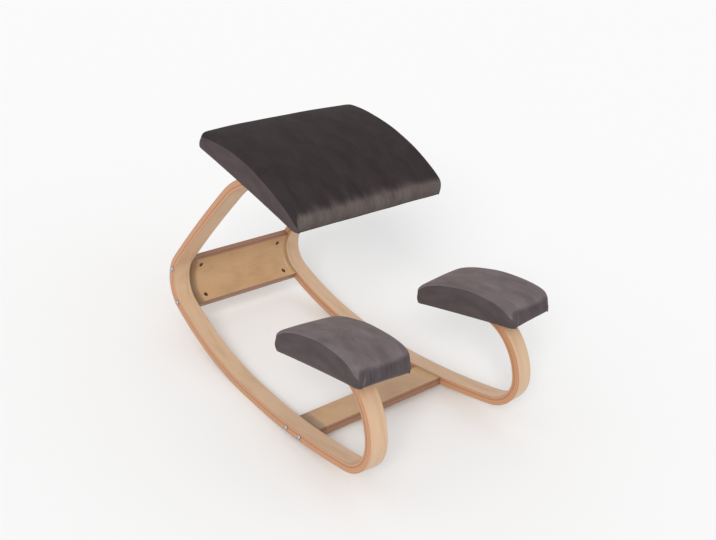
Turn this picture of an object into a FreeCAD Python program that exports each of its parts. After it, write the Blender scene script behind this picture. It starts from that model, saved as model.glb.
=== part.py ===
import FreeCAD, Part
import math
import os

# A rocking kneeling chair. Two bent plywood side frames toe out towards the knees and are held
# together by two bent plywood crossbars. A padded seat lies on the upper arms of the frames and
# a knee pad on each lower arm. Everything is screwed together and nothing moves by itself: the
# whole chair rocks on its runners.
# Sizes are in millimetres, angles in degrees. X is to the sitter's left, the sitter faces -Y and
# Z is up. The origin is on the floor, under the middle of the chair.

Vector = FreeCAD.Vector
X_AXIS = Vector(1, 0, 0)
Z_AXIS = Vector(0, 0, 1)
ORIGIN = Vector(0, 0, 0)
LEFT = 1
RIGHT = -1

# Laminated strip that the side frames and crossbars are pressed from
STRIP_WIDTH = 42.0
STRIP_THICKNESS = 19.2

# Centre line of a side frame, from its end under the seat to its end under the knee pad.
# Each stretch is an arc: a radius, and a turn or a length.
SEAT_LAP_LENGTH = 46.0
TOP_BEND_RADIUS = 75.0
TOP_BEND_TURN = 44.4
SHOULDER_RADIUS = 185.0
SHOULDER_TURN = 22.7
SEAT_ARM_RADIUS = 3400.0
SEAT_ARM_LENGTH = 281.0
REAR_BEND_RADIUS = 71.0
REAR_BEND_TURN = 97.1
REAR_RUNNER_RADIUS = 666.0
REAR_RUNNER_LENGTH = 266.0
FRONT_RUNNER_RADIUS = 1385.0
FRONT_RUNNER_LENGTH = 357.0
FRONT_BEND_RADIUS = 69.0
FRONT_BEND_TURN = 89.4
KNEE_ARM_RADIUS = 148.0
KNEE_ARM_TURN = 36.6
KNEE_BEND_RADIUS = 108.0
KNEE_BEND_TURN = 55.7
KNEE_LAP_LENGTH = 85.0

# How the two frames stand to each other
FRAME_SPACING = 353.7
TOE_OUT = 4.24

# Crossbars, bent to the same line as the frames
REAR_BAR_HEIGHT = 121.5
REAR_BAR_BELOW_BEND = 11.7
FRONT_BAR_WIDTH = 66.0
FRONT_BAR_BEHIND_FRONT_BEND = 166.0
BAR_ROUND = 1.5

# Crossbar bolts and their barrel nuts
BOLT_DIAMETER = 6.0
BOLT_HOLE_CLEARANCE = 0.4
BAR_BOLT_REACH = 38.0
BAR_BOLT_HEAD_DIAMETER = 11.0
BAR_BOLT_HEAD_HEIGHT = 3.4
REAR_BAR_BOLT_INSET = 20.0
FRONT_BAR_BOLT_INSET = 11.0
BARREL_NUT_FROM_END = 30.0
BARREL_NUT_DIAMETER = 10.0
BARREL_NUT_LENGTH = 14.0
BARREL_NUT_DEPTH = 16.5
BARREL_NUT_CLEARANCE = 0.2
FASTENER_SIDES = 8
HOLE_RUN_OUT = 5.0
SOCKET_ACROSS_FLATS = 4.0
SOCKET_DEPTH = 1.9

# Pad bolts and their tee nuts
PAD_BOLT_HEAD_DIAMETER = 14.0
PAD_BOLT_HEAD_HEIGHT = 3.0
PAD_BOLT_PAST_NUT = 1.0
HEAD_CLEARANCE = 0.1
TEE_NUT_FLANGE_DIAMETER = 19.0
TEE_NUT_FLANGE_THICKNESS = 1.2
TEE_NUT_BARREL_DIAMETER = 8.0
TEE_NUT_BARREL_LENGTH = 8.0
TEE_NUT_CLEARANCE = 0.1
TEE_NUT_RECESS = 1.5
SEAT_BOLT_FROM_ARM_END = 12.0
SEAT_BOLT_PITCH = 23.0
KNEE_BOLT_FROM_ARM_END = 18.0
KNEE_BOLT_PITCH = 50.0

# Seat pad
SEAT_OVERHANG = 28.65
SEAT_WIDTH = FRAME_SPACING + 2 * SEAT_OVERHANG
SEAT_DEPTH = 336.0
SEAT_ARCH_RADIUS = 524.0
SEAT_LAP_AHEAD_OF_MIDDLE = 36.5
SEAT_SKIRT_DROP = 26.0
SEAT_BOARD_THICKNESS = 12.0
SEAT_BOARD_INSET = 8.0
SEAT_BOARD_CORNER = 22.0
SEAT_MIDDLE_HEIGHT = 67.0
SEAT_FRONT_SHOULDER = (30.0, 45.0)
SEAT_REAR_SHOULDER = (30.0, 47.0)
SEAT_SHOULDERS = ((62.0, 3.0, 5.0), (0.0, 21.0, 40.0))

# Knee pads
KNEE_WIDTH = 134.0
KNEE_DEPTH = 258.0
KNEE_ARCH_RADIUS = 950.0
KNEE_MIDDLE_AHEAD_OF_LAP = 15.0
KNEE_SKIRT_DROP = 9.5
KNEE_BOARD_THICKNESS = 10.0
KNEE_BOARD_INSET = 7.0
KNEE_BOARD_CORNER = 16.0
KNEE_MIDDLE_HEIGHT = 66.0
KNEE_FRONT_SHOULDER = (19.0, 46.0)
KNEE_REAR_SHOULDER = (20.0, 46.0)
KNEE_SHOULDERS = ((30.0, 1.0, 6.0), (0.0, 8.0, 35.0))

# Upholstery common to the three pads
COVER_THICKNESS = 1.3
SOFT_CLEARANCE = 0.3
SEATING_CLEARANCE = 0.4
PAD_CORNER = 20.0
SIDE_DRAW_IN = 2.5
END_BULGE = 4.0
NOSE_HEIGHT_SHARE = 0.45

# Densities in kilograms per cubic millimetre, used to find how the empty chair balances
WOOD_DENSITY = 600e-9
STEEL_DENSITY = 7850e-9
FABRIC_DENSITY = 300e-9
TILT_RANGE = (-20.0, 40.0)
TILT_STEPS = 40
POINTS_PER_RADIAN = 400

HALF_STRIP = STRIP_THICKNESS / 2
REACH = 2000.0


def rad(degrees):
    return math.radians(degrees)


# The frame line


def frame_arcs():
    """Radius and turn, in radians, of each arc of the frame line."""
    return (
        (SEAT_ARCH_RADIUS - HALF_STRIP, SEAT_LAP_LENGTH / SEAT_ARCH_RADIUS),
        (TOP_BEND_RADIUS, rad(TOP_BEND_TURN)),
        (SHOULDER_RADIUS, rad(SHOULDER_TURN)),
        (SEAT_ARM_RADIUS, SEAT_ARM_LENGTH / SEAT_ARM_RADIUS),
        (REAR_BEND_RADIUS, rad(REAR_BEND_TURN)),
        (REAR_RUNNER_RADIUS, REAR_RUNNER_LENGTH / REAR_RUNNER_RADIUS),
        (FRONT_RUNNER_RADIUS, FRONT_RUNNER_LENGTH / FRONT_RUNNER_RADIUS),
        (FRONT_BEND_RADIUS, rad(FRONT_BEND_TURN)),
        (KNEE_ARM_RADIUS, rad(KNEE_ARM_TURN)),
        (KNEE_BEND_RADIUS, rad(KNEE_BEND_TURN)),
        (KNEE_ARCH_RADIUS - HALF_STRIP, KNEE_LAP_LENGTH / KNEE_ARCH_RADIUS),
    )


SEAT_LAP, TOP_BEND, SHOULDER, SEAT_ARM, REAR_BEND, REAR_RUNNER, FRONT_RUNNER = range(7)
FRONT_BEND, KNEE_ARM, KNEE_BEND, KNEE_LAP = range(7, 11)


def walk():
    """Centre, radius, first heading and turn of each arc. The line turns left all the way.

    Points are (forward, up) in the plane of a frame. The seat board's underside peaks at (0, 0).
    """
    lap_middle = SEAT_LAP_AHEAD_OF_MIDDLE / SEAT_ARCH_RADIUS
    heading = math.pi - lap_middle - SEAT_LAP_LENGTH / SEAT_ARCH_RADIUS
    centre = (0.0, -SEAT_ARCH_RADIUS)
    arcs = []
    last_radius = None
    for radius, turn in frame_arcs():
        if last_radius is not None:
            step = last_radius - radius
            centre = (centre[0] + step * math.sin(heading), centre[1] - step * math.cos(heading))
        arcs.append((centre, radius, heading, turn))
        heading += turn
        last_radius = radius
    return arcs


ARCS = walk()


def on_arc(index, turned, side=0.0):
    """Point at an angle along one arc, offset to the outside of the bend."""
    centre, radius, heading, turn = ARCS[index]
    direction = heading + turned
    reach = radius + side
    return (centre[0] + reach * math.sin(direction), centre[1] - reach * math.cos(direction))


def arc_length(index):
    return ARCS[index][1] * ARCS[index][3]


def start_of(index):
    """Length of the line before an arc."""
    return sum(arc_length(earlier) for earlier in range(index))


def find(length):
    """Arc and angle in it at a length along the line."""
    for index in range(len(ARCS)):
        if length <= arc_length(index) or index == len(ARCS) - 1:
            return index, length / ARCS[index][1]
        length -= arc_length(index)


def heading_at(length):
    index, turned = find(length)
    return ARCS[index][2] + turned


def flat(point, x=0.0):
    """Point of a frame's plane as a vector."""
    return Vector(x, -point[0], point[1])


def arc_edge(start, middle, end):
    return Part.Arc(start, middle, end).toShape()


def strip_face(first, last):
    """Side view of the strip between two lengths along the line."""
    outer = []
    inner = []
    for index in range(len(ARCS)):
        begin = max(first - start_of(index), 0.0)
        end = min(last - start_of(index), arc_length(index))
        if end <= begin:
            continue
        angles = [place / ARCS[index][1] for place in (begin, (begin + end) / 2, end)]
        outer.append(arc_edge(*[flat(on_arc(index, angle, HALF_STRIP)) for angle in angles]))
        inner.append(arc_edge(*[flat(on_arc(index, angle, -HALF_STRIP)) for angle in angles]))
    head = Part.makeLine(inner[0].firstVertex(True).Point, outer[0].firstVertex(True).Point)
    tail = Part.makeLine(outer[-1].lastVertex(True).Point, inner[-1].lastVertex(True).Point)
    return Part.Face(Part.Wire([head] + outer + [tail] + inner[::-1]))


# Placing things on a frame


def on_frame(shape):
    """Move a shape from the plane X = 0 to the left frame."""
    moved = shape.copy()
    moved.rotate(ORIGIN, Z_AXIS, TOE_OUT)
    moved.translate(Vector(FRAME_SPACING / 2, 0, 0))
    return moved


def mirrored(shape):
    return shape.mirror(ORIGIN, X_AXIS)


def both_sides(shapes):
    """Group of the left side's solids and their mirror images."""
    return Part.makeCompound(shapes + [mirrored(shape) for shape in shapes])


def aimed(shape, point, direction):
    """Turn a shape made along +Z so that it points along a direction from a point."""
    moved = shape.copy()
    moved.Placement = FreeCAD.Placement(point, FreeCAD.Rotation(Z_AXIS, direction))
    return moved


def rod(diameter, length, point, direction):
    return Part.makeCylinder(diameter / 2, length, point, direction)


def outward_normal(length):
    """Direction out of the bend at a length along the line."""
    heading = heading_at(length)
    return Vector(0, -math.sin(heading), -math.cos(heading))


def centre_point(length):
    index, turned = find(length)
    return flat(on_arc(index, turned))


# Fasteners


def facet_rod(diameter, length, point, direction, sides=FASTENER_SIDES):
    """Round piece of a fastener, with few faces because there are many of them."""
    radius = diameter / 2
    step = 360 / sides
    corners = [Vector(radius * math.cos(rad(step * i)), radius * math.sin(rad(step * i)), 0) for i in range(sides)]
    prism = Part.Face(Part.makePolygon(corners + corners[:1])).extrude(Vector(0, 0, length))
    return aimed(prism, point, direction)


def socket_bolt(head_diameter, head_height, shank_length):
    """Bolt with a flat head and a hexagon socket. Its head stands on the plane Z = 0."""
    head = facet_rod(head_diameter, head_height, ORIGIN, -Z_AXIS)
    across_corners = SOCKET_ACROSS_FLATS / math.cos(rad(30))
    socket = facet_rod(across_corners, SOCKET_DEPTH, Vector(0, 0, -head_height), Z_AXIS, 6)
    shank = facet_rod(BOLT_DIAMETER, shank_length, ORIGIN, Z_AXIS)
    return head.fuse(shank).cut(socket).Solids[0]


def tee_nut():
    """Tee nut whose flange lies on top, at Z = 0, and whose barrel points down."""
    flange = facet_rod(TEE_NUT_FLANGE_DIAMETER, TEE_NUT_FLANGE_THICKNESS, ORIGIN, -Z_AXIS)
    barrel = facet_rod(TEE_NUT_BARREL_DIAMETER, TEE_NUT_BARREL_LENGTH, ORIGIN, -Z_AXIS)
    hole = facet_rod(BOLT_DIAMETER + BOLT_HOLE_CLEARANCE, TEE_NUT_BARREL_LENGTH, ORIGIN, -Z_AXIS)
    return flange.fuse(barrel).removeSplitter().cut(hole)


def barrel_nut():
    """Cross dowel along Z with a hole across its middle, along X."""
    body = facet_rod(BARREL_NUT_DIAMETER, BARREL_NUT_LENGTH, Vector(0, 0, -BARREL_NUT_LENGTH / 2), Z_AXIS)
    across = Vector(-BARREL_NUT_DIAMETER, 0, 0)
    hole = facet_rod(BOLT_DIAMETER + BOLT_HOLE_CLEARANCE, 2 * BARREL_NUT_DIAMETER, across, X_AXIS)
    return body.cut(hole)


# Where each crossbar lies along the line, and its bolts


def rear_bar_span():
    end = start_of(REAR_RUNNER) + REAR_BAR_BELOW_BEND
    return end - REAR_BAR_HEIGHT, end


def front_bar_span():
    end = start_of(FRONT_BEND) - FRONT_BAR_BEHIND_FRONT_BEND + FRONT_BAR_WIDTH / 2
    return end - FRONT_BAR_WIDTH, end


def bar_bolt_places(span, inset):
    return span[0] + inset, span[1] - inset


def bar_bolt_hole(place):
    """Hole through a frame and into a crossbar's end, in the plane of the frame."""
    start = centre_point(place) - X_AXIS * (STRIP_WIDTH / 2 + BAR_BOLT_REACH + BOLT_DIAMETER)
    return facet_rod(BOLT_DIAMETER + BOLT_HOLE_CLEARANCE, REACH, start, X_AXIS)


def bar_bolt(place):
    head_seat = centre_point(place) + X_AXIS * (STRIP_WIDTH / 2)
    bolt = socket_bolt(BAR_BOLT_HEAD_DIAMETER, BAR_BOLT_HEAD_HEIGHT, STRIP_WIDTH + BAR_BOLT_REACH)
    return aimed(bolt, head_seat, -X_AXIS)


def nut_middle(place):
    return centre_point(place) - X_AXIS * (STRIP_WIDTH / 2 + BARREL_NUT_FROM_END)


def bar_nut(place):
    nut = aimed(barrel_nut(), ORIGIN, outward_normal(place))
    nut.translate(nut_middle(place))
    return nut


def nut_hole(place, from_outside):
    """Blind hole for a barrel nut, open on the outer or the inner face of the bend."""
    normal = outward_normal(place) * (1 if from_outside else -1)
    bottom = nut_middle(place) - normal * (BARREL_NUT_DEPTH - HALF_STRIP)
    return facet_rod(BARREL_NUT_DIAMETER + BARREL_NUT_CLEARANCE, STRIP_THICKNESS, bottom, normal)


def crossbar(span, inset, nuts_from_outside):
    """Bent board between the frames, cut to their inner sides."""
    middle = (span[0] + span[1]) / 2
    ahead = -centre_point(middle).y
    lean = STRIP_WIDTH / 2 * math.sin(rad(TOE_OUT))
    board = strip_face(*span).extrude(Vector(REACH, 0, 0))
    board.translate(Vector(-REACH / 2, ahead * (1 - math.cos(rad(TOE_OUT))) - lean, 0))
    long_edges = [edge for edge in board.Edges if edge.Length > REACH * 0.99 and is_corner(edge, span)]
    board = board.makeFillet(BAR_ROUND, long_edges)
    board = board.common(between_frames())
    for place in bar_bolt_places(span, inset):
        for cutter in (bar_bolt_hole(place), nut_hole(place, nuts_from_outside)):
            hole = on_frame(cutter)
            board = board.cut(hole).cut(mirrored(hole))
    return board.Solids[0]


def is_corner(edge, span):
    """Whether a long edge of a crossbar is one of the four at its ends."""
    point = edge.firstVertex().Point
    ends = [centre_point(place) for place in span]
    return min(math.hypot(point.y - end.y, point.z - end.z) for end in ends) < HALF_STRIP * 1.5


def between_frames():
    """Space between the inner sides of the two frames."""
    rear, front = (on_frame(Part.Vertex(-STRIP_WIDTH / 2, y, -REACH)).Point for y in (REACH / 2, -REACH / 2))
    corners = [rear, front, Vector(-front.x, front.y, -REACH), Vector(-rear.x, rear.y, -REACH)]
    return Part.Face(Part.makePolygon(corners + corners[:1])).extrude(Vector(0, 0, 2 * REACH))


# Bolts that hold the pads to the arms


def pad_bolt_places(is_seat):
    if is_seat:
        return SEAT_BOLT_FROM_ARM_END, SEAT_BOLT_FROM_ARM_END + SEAT_BOLT_PITCH
    end = start_of(KNEE_LAP) + arc_length(KNEE_LAP)
    return end - KNEE_BOLT_FROM_ARM_END - KNEE_BOLT_PITCH, end - KNEE_BOLT_FROM_ARM_END


def pad_stack(place, board_thickness):
    """Bolt, tee nut and the holes for them, at a place along the line."""
    normal = outward_normal(place)
    under = centre_point(place) - normal * (HALF_STRIP + HEAD_CLEARANCE)
    to_nut = HEAD_CLEARANCE + STRIP_THICKNESS + SEATING_CLEARANCE + board_thickness - TEE_NUT_RECESS
    shank = to_nut + PAD_BOLT_PAST_NUT
    bolt = socket_bolt(PAD_BOLT_HEAD_DIAMETER, PAD_BOLT_HEAD_HEIGHT, shank)
    top = under + normal * (to_nut + TEE_NUT_FLANGE_THICKNESS)
    below = under - normal * HOLE_RUN_OUT
    hole = facet_rod(BOLT_DIAMETER + BOLT_HOLE_CLEARANCE, STRIP_THICKNESS + 2 * HOLE_RUN_OUT, below, normal)
    in_arm = under + normal * HALF_STRIP
    barrel_hole = facet_rod(TEE_NUT_BARREL_DIAMETER + TEE_NUT_CLEARANCE, REACH, in_arm, normal)
    flange_start = under + normal * to_nut
    flange_hole = facet_rod(TEE_NUT_FLANGE_DIAMETER + TEE_NUT_CLEARANCE, REACH, flange_start, normal)
    return {
        "bolt": aimed(bolt, under, normal),
        "nut": aimed(tee_nut(), top, normal),
        "hole": hole,
        "recess": barrel_hole.fuse(flange_hole),
    }


# Side frame


def side_frame():
    """Left side frame, with its bolt holes."""
    total = start_of(KNEE_LAP) + arc_length(KNEE_LAP)
    strip = strip_face(0.0, total).extrude(Vector(STRIP_WIDTH, 0, 0))
    strip.translate(Vector(-STRIP_WIDTH / 2, 0, 0))
    places = bar_bolt_places(rear_bar_span(), REAR_BAR_BOLT_INSET)
    places += bar_bolt_places(front_bar_span(), FRONT_BAR_BOLT_INSET)
    for place in places:
        strip = strip.cut(bar_bolt_hole(place))
    for is_seat, thickness in ((True, SEAT_BOARD_THICKNESS), (False, KNEE_BOARD_THICKNESS)):
        for place in pad_bolt_places(is_seat):
            strip = strip.cut(pad_stack(place, thickness)["hole"])
    return on_frame(strip).Solids[0]


# Pads. Each is made with the peak of its board's underside at the origin, facing -Y.


class Pad:
    """Sizes of one pad."""

    def __init__(
        self, width, depth, arch, drop, board, inset, corner, middle, front, rear, shoulders
    ):
        self.width = width
        self.depth = depth
        self.arch = arch + SEATING_CLEARANCE
        self.drop = drop
        self.board = board
        self.inset = inset
        self.corner = corner
        self.middle = middle
        self.front = front
        self.rear = rear
        self.shoulders = shoulders


SEAT = Pad(
    SEAT_WIDTH, SEAT_DEPTH, SEAT_ARCH_RADIUS, SEAT_SKIRT_DROP, SEAT_BOARD_THICKNESS, SEAT_BOARD_INSET,
    SEAT_BOARD_CORNER, SEAT_MIDDLE_HEIGHT, SEAT_FRONT_SHOULDER, SEAT_REAR_SHOULDER, SEAT_SHOULDERS,
)
KNEE = Pad(
    KNEE_WIDTH, KNEE_DEPTH, KNEE_ARCH_RADIUS, KNEE_SKIRT_DROP, KNEE_BOARD_THICKNESS, KNEE_BOARD_INSET,
    KNEE_BOARD_CORNER, KNEE_MIDDLE_HEIGHT, KNEE_FRONT_SHOULDER, KNEE_REAR_SHOULDER, KNEE_SHOULDERS,
)


def plan_prism(width, depth, corner, low, high):
    """Upright prism with drawn-in sides, straight ends and rounded corners."""
    x = width / 2
    y = depth / 2
    cut = corner * (1 - math.cos(rad(45)))
    edges = []
    for side in (LEFT, RIGHT):
        edge_x = side * x
        inner_x = side * (x - corner)
        front = Vector(edge_x, corner - y, low)
        rear = Vector(edge_x, y - corner, low)
        edges.append(arc_edge(front, Vector(side * (x - SIDE_DRAW_IN), 0, low), rear))
        for start, end in ((front, -1), (rear, 1)):
            middle = Vector(side * (x - cut), end * (y - cut), low)
            edges.append(arc_edge(start, middle, Vector(inner_x, end * y, low)))
    for end in (-1, 1):
        edges.append(Part.makeLine(Vector(corner - x, end * y, low), Vector(x - corner, end * y, low)))
    outline = Part.Wire(Part.__sortEdges__(edges))
    return Part.Face(outline).extrude(Vector(0, 0, high - low))


def board_of(pad):
    """Arched plywood board of a pad."""
    centre = Vector(0, 0, -pad.arch)
    start = centre - X_AXIS * pad.width
    drum = rod(2 * (pad.arch + pad.board), 2 * pad.width, start, X_AXIS)
    hollow = rod(2 * pad.arch, 2 * pad.width, start, X_AXIS)
    inset = 2 * (pad.inset + COVER_THICKNESS)
    plan = plan_prism(
        pad.width - inset, pad.depth - inset - 2 * END_BULGE, pad.corner, -pad.arch / 2, pad.board + pad.drop
    )
    return plan.common(drum).cut(hollow)


def under_board(pad):
    """Space under the arch of a pad's board."""
    start = Vector(-pad.width, 0, -pad.arch)
    return rod(2 * pad.arch, 2 * pad.width, start, X_AXIS)


def crest_circle(pad, inset):
    """Centre height, middle and radius of the arc along the top of a pad."""
    front_back, front_height = pad.front
    rear_back, rear_height = pad.rear
    half = pad.depth / 2
    crest = arc_edge(
        Vector(0, front_back - half, front_height - pad.drop),
        Vector(0, 0, pad.middle - pad.drop),
        Vector(0, half - rear_back, rear_height - pad.drop),
    ).Curve
    return crest.Center, crest.Radius - inset


def shoulders_of(pad, inset):
    """Long drums that lie over a pad and slope its top down towards its sides."""
    centre, radius = crest_circle(pad, inset)
    drums = []
    for from_side, below_crown, fall in pad.shoulders:
        for side in (LEFT, RIGHT):
            along = Vector(side * math.cos(rad(fall)), 0, -math.sin(rad(fall)))
            across = Vector(side * math.sin(rad(fall)), 0, math.cos(rad(fall)))
            top = Vector(side * (pad.width / 2 - from_side), centre.y, pad.middle - pad.drop - below_crown)
            middle = top - across * (radius + inset)
            drums.append(rod(2 * radius, REACH, middle - along * REACH / 2, along))
    return drums


def side_view(pad, inset, below):
    """Side view of a pad, drawn along its width. It may go on straight down below."""
    base = -pad.drop + inset
    half = pad.depth / 2 - inset
    foot = half - END_BULGE
    centre, radius = crest_circle(pad, inset)
    corners = []
    noses = []
    for side, (back, height) in ((-1, pad.front), (1, pad.rear)):
        y = side * (half - back)
        z = centre.z + math.sqrt(radius**2 - (y - centre.y) ** 2)
        corners.append((Vector(0, side * foot, base), Vector(0, y, z)))
        noses.append(Vector(0, side * half, base + (z - base) * NOSE_HEIGHT_SHARE))
    (front_foot, front), (rear_foot, rear) = corners
    crest = Vector(0, centre.y, centre.z + radius)
    down = Vector(0, 0, -below)
    edges = [arc_edge(front_foot, noses[0], front), arc_edge(front, crest, rear), arc_edge(rear, noses[1], rear_foot)]
    if below > 0:
        edges.append(Part.makeLine(rear_foot, rear_foot + down))
    edges.append(Part.makeLine(rear_foot + down, front_foot + down))
    if below > 0:
        edges.append(Part.makeLine(front_foot + down, front_foot))
    face = Part.Face(Part.Wire(edges))
    face.translate(Vector(-pad.width, 0, 0))
    return face.extrude(Vector(2 * pad.width, 0, 0))


def crowned_body(pad, inset, below=0.0):
    """Outer form of a pad, or of what lies a small inset inside it."""
    body = plan_prism(
        pad.width - 2 * inset, pad.depth - 2 * inset, PAD_CORNER - inset, -pad.drop - pad.middle, pad.middle * 2
    )
    for cutter in [side_view(pad, inset, below)] + shoulders_of(pad, inset):
        body = body.common(cutter)
    return body.Solids[0]


def foam_of(pad):
    """Foam that lies on the board and wraps its edges, inside the cover."""
    inset = COVER_THICKNESS + SOFT_CLEARANCE
    body = crowned_body(pad, inset)
    grown = board_room(pad)
    return body.cut(grown).cut(under_board(pad)).Solids[0]


def board_room(pad):
    """Board with the soft clearance round it."""
    roomy = Pad(
        pad.width, pad.depth, pad.arch - SEATING_CLEARANCE, pad.drop, pad.board + SOFT_CLEARANCE,
        pad.inset - SOFT_CLEARANCE, pad.corner, pad.middle, pad.front, pad.rear,
        pad.shoulders,
    )
    return board_of(roomy)


def cover_of(pad):
    """Cloth skin of a pad: its top and sides, open below."""
    skin = crowned_body(pad, 0.0).cut(crowned_body(pad, COVER_THICKNESS, pad.drop))
    return skin.Solids[0]


def knee_placement():
    """Pitch and place of the left knee pad in the plane of its frame."""
    centre, radius, heading, turn = ARCS[KNEE_LAP]
    middle_heading = heading - KNEE_MIDDLE_AHEAD_OF_LAP / KNEE_ARCH_RADIUS
    pitch = math.degrees(middle_heading - math.pi)
    outside = radius + HALF_STRIP
    peak = (centre[0] + outside * math.sin(middle_heading), centre[1] - outside * math.cos(middle_heading))
    return pitch, flat(peak)


def on_knee_arm(shape):
    """Lay a pad's piece on the left knee arm."""
    pitch, peak = knee_placement()
    moved = shape.copy()
    moved.rotate(ORIGIN, X_AXIS, -pitch)
    moved.translate(peak)
    return on_frame(moved)


# The assembly


def pad_fasteners(is_seat, thickness):
    stacks = [pad_stack(place, thickness) for place in pad_bolt_places(is_seat)]
    return {part: [on_frame(stack[part]) for stack in stacks] for part in stacks[0]}


def cut_all(solid, cutters):
    for cutter in cutters:
        solid = solid.cut(cutter)
    return solid.Solids[0]


def build():
    """Every node's shape, with the seat level."""
    nodes = {}
    frame = side_frame()
    nodes["side_frame_left"] = frame
    nodes["side_frame_right"] = mirrored(frame)

    bars = (
        ("rear_crossbar", rear_bar_span(), REAR_BAR_BOLT_INSET, False),
        ("front_crossbar", front_bar_span(), FRONT_BAR_BOLT_INSET, True),
    )
    for name, span, inset, from_outside in bars:
        nodes[name] = crossbar(span, inset, from_outside)
        places = bar_bolt_places(span, inset)
        nodes[name + "_bolts"] = both_sides([on_frame(bar_bolt(place)) for place in places])
        nodes[name + "_barrel_nuts"] = both_sides([on_frame(bar_nut(place)) for place in places])

    fasteners = pad_fasteners(True, SEAT_BOARD_THICKNESS)
    cutters = fasteners["recess"]
    board = board_of(SEAT)
    nodes["seat_board"] = cut_all(board, cutters + [mirrored(cutter) for cutter in cutters])
    nodes["seat_foam"] = foam_of(SEAT)
    nodes["seat_cover"] = cover_of(SEAT)
    nodes["seat_bolts"] = both_sides(fasteners["bolt"])
    nodes["seat_tee_nuts"] = both_sides(fasteners["nut"])

    fasteners = pad_fasteners(False, KNEE_BOARD_THICKNESS)
    nodes["knee_bolts"] = both_sides(fasteners["bolt"])
    nodes["knee_tee_nuts"] = both_sides(fasteners["nut"])
    board = board_of(KNEE)
    left = {
        "knee_board": cut_all(on_knee_arm(board), fasteners["recess"]),
        "knee_foam": on_knee_arm(foam_of(KNEE)),
        "knee_cover": on_knee_arm(cover_of(KNEE)),
    }
    for name, shape in left.items():
        nodes[name + "_left"] = shape
        nodes[name + "_right"] = mirrored(shape)
    return nodes


def density_of(name):
    if "cover" in name or "foam" in name:
        return FABRIC_DENSITY
    if "bolts" in name or "nuts" in name:
        return STEEL_DENSITY
    return WOOD_DENSITY


def mass_centre(nodes):
    """Mass of the whole chair and its centre, while the seat is level."""
    total = 0.0
    moment = Vector(0, 0, 0)
    for name, shape in nodes.items():
        for solid in shape.Solids:
            mass = solid.Volume * density_of(name)
            total += mass
            moment += solid.CenterOfMass * mass
    return total, moment / total


def runner_points():
    """Points along the underside of the left runner, at both of its edges."""
    points = []
    for index in (REAR_RUNNER, FRONT_RUNNER):
        turn = ARCS[index][3]
        count = int(turn * POINTS_PER_RADIAN)
        for i in range(count + 1):
            forward, up = on_arc(index, turn * i / count, HALF_STRIP)
            for side in (-STRIP_WIDTH / 2, STRIP_WIDTH / 2):
                y = -forward * math.cos(rad(TOE_OUT)) + side * math.sin(rad(TOE_OUT))
                points.append((y, up))
    return points


def tilted(y, z, tilt):
    """Distance along Y and height after the chair leans forward by a tilt."""
    c = math.cos(rad(tilt))
    s = math.sin(rad(tilt))
    return y * c - z * s, y * s + z * c


def balance_tilt(centre):
    """Forward lean at which the mass centre stands over the point that touches the floor."""
    points = runner_points()
    low, high = TILT_RANGE
    for _ in range(TILT_STEPS):
        tilt = (low + high) / 2
        touch = min((tilted(y, z, tilt) for y, z in points), key=lambda point: point[1])
        if tilted(centre.y, centre.z, tilt)[0] < touch[0]:
            low = tilt
        else:
            high = tilt
    return tilt


def overall_box(shapes):
    box = FreeCAD.BoundBox()
    for shape in shapes:
        box.add(shape.optimalBoundingBox(False, False))
    return box


def main():
    os.makedirs("parts", exist_ok=True)
    nodes = build()
    mass, centre = mass_centre(nodes)
    tilt = balance_tilt(centre)
    for shape in nodes.values():
        shape.rotate(ORIGIN, X_AXIS, tilt)
    box = overall_box(nodes.values())
    shift = Vector(0, -(box.YMin + box.YMax) / 2, -box.ZMin)
    for name, shape in nodes.items():
        shape.translate(shift)
        shape.exportStep("parts/" + name + ".step")
    print("mass", round(mass, 2), "kg, seat leans forward", round(tilt, 2), "degrees")
    print("size", [round(side, 1) for side in (box.XLength, box.YLength, box.ZLength)])
    print("moved by", [round(value, 2) for value in shift])


main()
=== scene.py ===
import bisect
import math

import bpy
import numpy as np
from mathutils import Matrix, Vector, noise

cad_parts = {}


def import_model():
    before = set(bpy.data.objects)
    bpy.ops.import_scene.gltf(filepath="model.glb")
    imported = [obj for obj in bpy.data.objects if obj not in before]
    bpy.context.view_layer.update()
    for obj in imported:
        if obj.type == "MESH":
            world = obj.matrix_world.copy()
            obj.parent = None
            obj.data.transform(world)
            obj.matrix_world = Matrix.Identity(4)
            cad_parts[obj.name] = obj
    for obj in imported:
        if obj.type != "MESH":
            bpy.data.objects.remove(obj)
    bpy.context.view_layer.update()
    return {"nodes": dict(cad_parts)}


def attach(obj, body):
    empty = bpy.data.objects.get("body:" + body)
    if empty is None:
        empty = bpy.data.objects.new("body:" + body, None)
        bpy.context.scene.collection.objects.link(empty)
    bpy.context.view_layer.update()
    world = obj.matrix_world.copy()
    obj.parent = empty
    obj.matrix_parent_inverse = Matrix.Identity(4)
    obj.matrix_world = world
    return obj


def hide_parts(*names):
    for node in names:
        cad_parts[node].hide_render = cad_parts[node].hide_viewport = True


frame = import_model()

MM = 0.001

# How the seat-level drawing of the chair lies in the row frame: it leans forward until the empty
# chair balances, and the middle of the chair comes over the origin.
LEAN = math.radians(9.07)
SHIFT = Vector((0.0, 0.11129, 0.47846))
ROW = Matrix.Translation(SHIFT) @ Matrix.Rotation(LEAN, 4, "X")

STRIP_WIDTH = 42.0
STRIP_THICKNESS = 19.2
FRAME_SPACING = 353.7
TOE_OUT = math.radians(4.24)
LEFT_FRAME = Matrix.Translation((FRAME_SPACING / 2, 0, 0)) @ Matrix.Rotation(TOE_OUT, 4, "Z")

SEAT_ARCH = 524.0
KNEE_ARCH = 950.0
HALF = STRIP_THICKNESS / 2

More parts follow.
